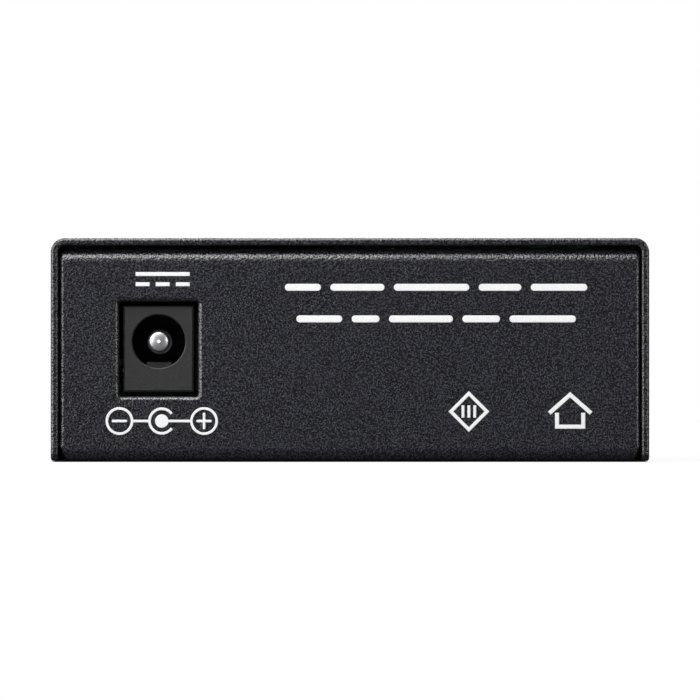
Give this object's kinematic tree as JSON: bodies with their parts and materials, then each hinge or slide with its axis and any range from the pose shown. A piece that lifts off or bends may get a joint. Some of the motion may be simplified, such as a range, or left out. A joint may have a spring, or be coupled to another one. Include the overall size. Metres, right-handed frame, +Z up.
{
  "type": "fibre media converter",
  "caption": "Small folded-steel case with a barrel power jack at one end and a network socket, twin optical ports and indicator lamps at the other.",
  "frame": {"origin": "middle of the case's underside", "axes": "+Z up, -Y towards the power jack's end panel, +Y towards the network and optical ports, +X to the right when facing the power jack"},
  "size_m": [0.073, 0.0944, 0.0273],
  "materials": {
    "textured_black_coat": "fine-textured black powder coat",
    "black_plated_screw": "black-plated steel",
    "zinc_plated_steel": "bright zinc plate",
    "board_laminate": "green solder mask",
    "black_moulding": "fine-eroded black moulding",
    "chip_moulding": "matt epoxy moulding",
    "polished_pin": "polished nickel plate",
    "nickel_spring": "nickel-plated spring bronze",
    "tinned_metal": "tin plate",
    "gold_contact": "gold flash",
    "ceramic_sleeve": "ground zirconia",
    "lamp_lens": "tinted clear epoxy",
    "ferrite": "sintered ferrite",
    "enamelled_copper": "enamelled wire",
    "capacitor_sleeve": "shrunk sleeve",
    "fuse_body": "green polymer",
    "white_print": "matt white screen ink",
    "ceramic_chip": "fired ceramic"
  },
  "bodies": {
    "root": {"base_tray": "textured_black_coat", "cover": "textured_black_coat", "cover_screws": "black_plated_screw", "board_standoffs": "zinc_plated_steel", "board_screws": "zinc_plated_steel", "circuit_board": "board_laminate", "jack_housing": "black_moulding", "jack_centre_pin": "polished_pin", "jack_leaf_contact": "nickel_spring", "jack_side_contact": "tinned_metal", "jack_rear_terminal": "tinned_metal", "socket_shield": "tinned_metal", "socket_housing": "black_moulding", "socket_contacts": "gold_contact", "optic_receptacle": "black_moulding", "optic_ferrule_tubes": "ceramic_sleeve", "optic_latches": "black_moulding", "optic_body": "black_moulding", "optic_pins": "tinned_metal", "lamp_holder": "black_moulding", "lamps": "lamp_lens", "lamp_leads": "tinned_metal", "switch_chip": "chip_moulding", "switch_chip_leads": "tinned_metal", "memory_chip": "chip_moulding", "memory_chip_leads": "tinned_metal", "line_transformer": "chip_moulding", "line_transformer_leads": "tinned_metal", "crystal": "tinned_metal", "regulator": "chip_moulding", "coil_core": "ferrite", "coil_winding": "enamelled_copper", "filter_capacitors": "capacitor_sleeve", "input_fuse": "fuse_body", "chip_resistors": "chip_moulding", "chip_capacitors": "ceramic_chip"}
  },
  "joints": []
}
